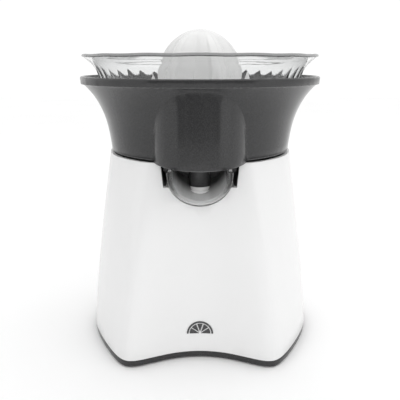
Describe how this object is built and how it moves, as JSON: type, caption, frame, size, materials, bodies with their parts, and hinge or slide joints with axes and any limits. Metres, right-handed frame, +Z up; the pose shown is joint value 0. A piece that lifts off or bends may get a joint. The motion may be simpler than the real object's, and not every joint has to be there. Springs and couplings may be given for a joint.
{
  "type": "electric citrus press",
  "caption": "Electric citrus press: fluted cone in a clear strainer bowl, grey juice collector with a front hood and tilting clear drip spout, on a four-cornered motor base.",
  "frame": {"origin": "middle of the footprint, at the height of the surface that the feet stand on", "axes": "+Z up along the spindle; -Y towards the juice spout; +X to the right seen from the front"},
  "size_m": [0.1862, 0.1862, 0.2467],
  "materials": {
    "white_plastic": "moulded, satin gloss",
    "cone_plastic": "moulded, smooth",
    "grey_plastic": "fine spark-eroded texture, satin",
    "dark_plastic": "satin",
    "clear_plastic": "clear, polished",
    "rubber": "matt",
    "steel": "ground",
    "bronze": "sintered bronze",
    "core_iron": "stacked laminations",
    "copper": "enamelled copper wire",
    "nylon": "natural nylon",
    "magnet": "ferrite",
    "badge": "printed inlay"
  },
  "bodies": {
    "base": {"main_housing": "white_plastic", "base_plate": "grey_plastic", "rubber_feet": "rubber", "base_screws": "steel", "motor_deck": "dark_plastic", "spout_well": "white_plastic", "deck_screws": "steel", "spindle_bush": "bronze", "spindle_seal": "rubber", "gearbox_case": "dark_plastic", "gearbox_cover": "dark_plastic", "idler_pin": "steel", "stator_core": "core_iron", "coil_bobbins": "nylon", "coil_windings": "copper", "motor_bracket": "dark_plastic", "motor_screws": "steel", "rotor_bushes": "bronze", "micro_switch": "dark_plastic", "switch_bracket": "dark_plastic", "cord_gland": "rubber", "front_badge": "badge", "return_spring": "steel"},
    "thrust_cup": {"thrust_cup": "nylon"},
    "switch_button": {"switch_button": "nylon"},
    "drive_spindle": {"drive_spindle": "steel", "output_gear": "nylon", "spindle_clip": "steel"},
    "rotor": {"rotor_shaft": "steel", "rotor_magnet": "magnet", "rotor_pinion": "nylon"},
    "idler_gear": {"idler_gear": "nylon"},
    "juice_collector": {"juice_collector": "grey_plastic", "spout_hinge_pins": "steel"},
    "drip_spout": {"drip_spout": "clear_plastic", "drip_plug": "cone_plastic"},
    "strainer_bowl": {"strainer_bowl": "clear_plastic"},
    "cone_coupling": {"cone_coupling": "dark_plastic"},
    "small_cone": {"small_cone": "cone_plastic"},
    "large_cone": {"large_cone": "cone_plastic"}
  },
  "joints": [
    {"name": "drive_press", "type": "slide", "parent": "base", "child": "thrust_cup", "axis": [0, 0, 1], "range_m": [-0.0025, 0], "stiffness_N_per_m": 1500, "springref_m": 0.004, "deforming": ["return_spring"]},
    {"name": "switch_press", "type": "slide", "parent": "base", "child": "switch_button", "axis": [0, 0, 1], "range_m": [-0.0025, 0]},
    {"name": "drive_spin", "type": "hinge", "parent": "thrust_cup", "child": "drive_spindle", "pos_m": [0, 0, 0.15], "axis": [0, 0, 1], "continuous": true},
    {"name": "idler_spin", "type": "hinge", "parent": "base", "child": "idler_gear", "pos_m": [0, 0.036, 0.1], "axis": [0, 0, 1], "continuous": true},
    {"name": "motor_spin", "type": "hinge", "parent": "base", "child": "rotor", "pos_m": [-0.028, 0.036, 0.07], "axis": [0, 0, 1], "continuous": true},
    {"name": "collector_lift", "type": "slide", "parent": "base", "child": "juice_collector", "axis": [0, 0, 1], "range_m": [0, 0.085]},
    {"name": "spout_tilt", "type": "hinge", "parent": "juice_collector", "child": "drip_spout", "pos_m": [0, -0.053, 0.15], "axis": [1, 0, 0], "range_deg": [0, 12]},
    {"name": "strainer_lift", "type": "slide", "parent": "juice_collector", "child": "strainer_bowl", "axis": [0, 0, 1], "range_m": [0, 0.05]},
    {"name": "cone_spin", "type": "hinge", "parent": "strainer_bowl", "child": "cone_coupling", "pos_m": [0, 0, 0.195], "axis": [0, 0, 1], "continuous": true},
    {"name": "cone_press", "type": "slide", "parent": "cone_coupling", "child": "small_cone", "axis": [0, 0, 1], "range_m": [-0.0025, 0]},
    {"name": "large_cone_lift", "type": "slide", "parent": "small_cone", "child": "large_cone", "axis": [0, 0, 1], "range_m": [0, 0.055]}
  ],
  "couplings": [
    {"joint": "switch_press", "follows": "drive_press", "ratio": 1},
    {"joint": "cone_press", "follows": "drive_press", "ratio": 1},
    {"joint": "idler_spin", "follows": "motor_spin", "ratio": -0.16667},
    {"joint": "drive_spin", "follows": "motor_spin", "ratio": 0.033333},
    {"joint": "cone_spin", "follows": "motor_spin", "ratio": 0.033333}
  ]
}
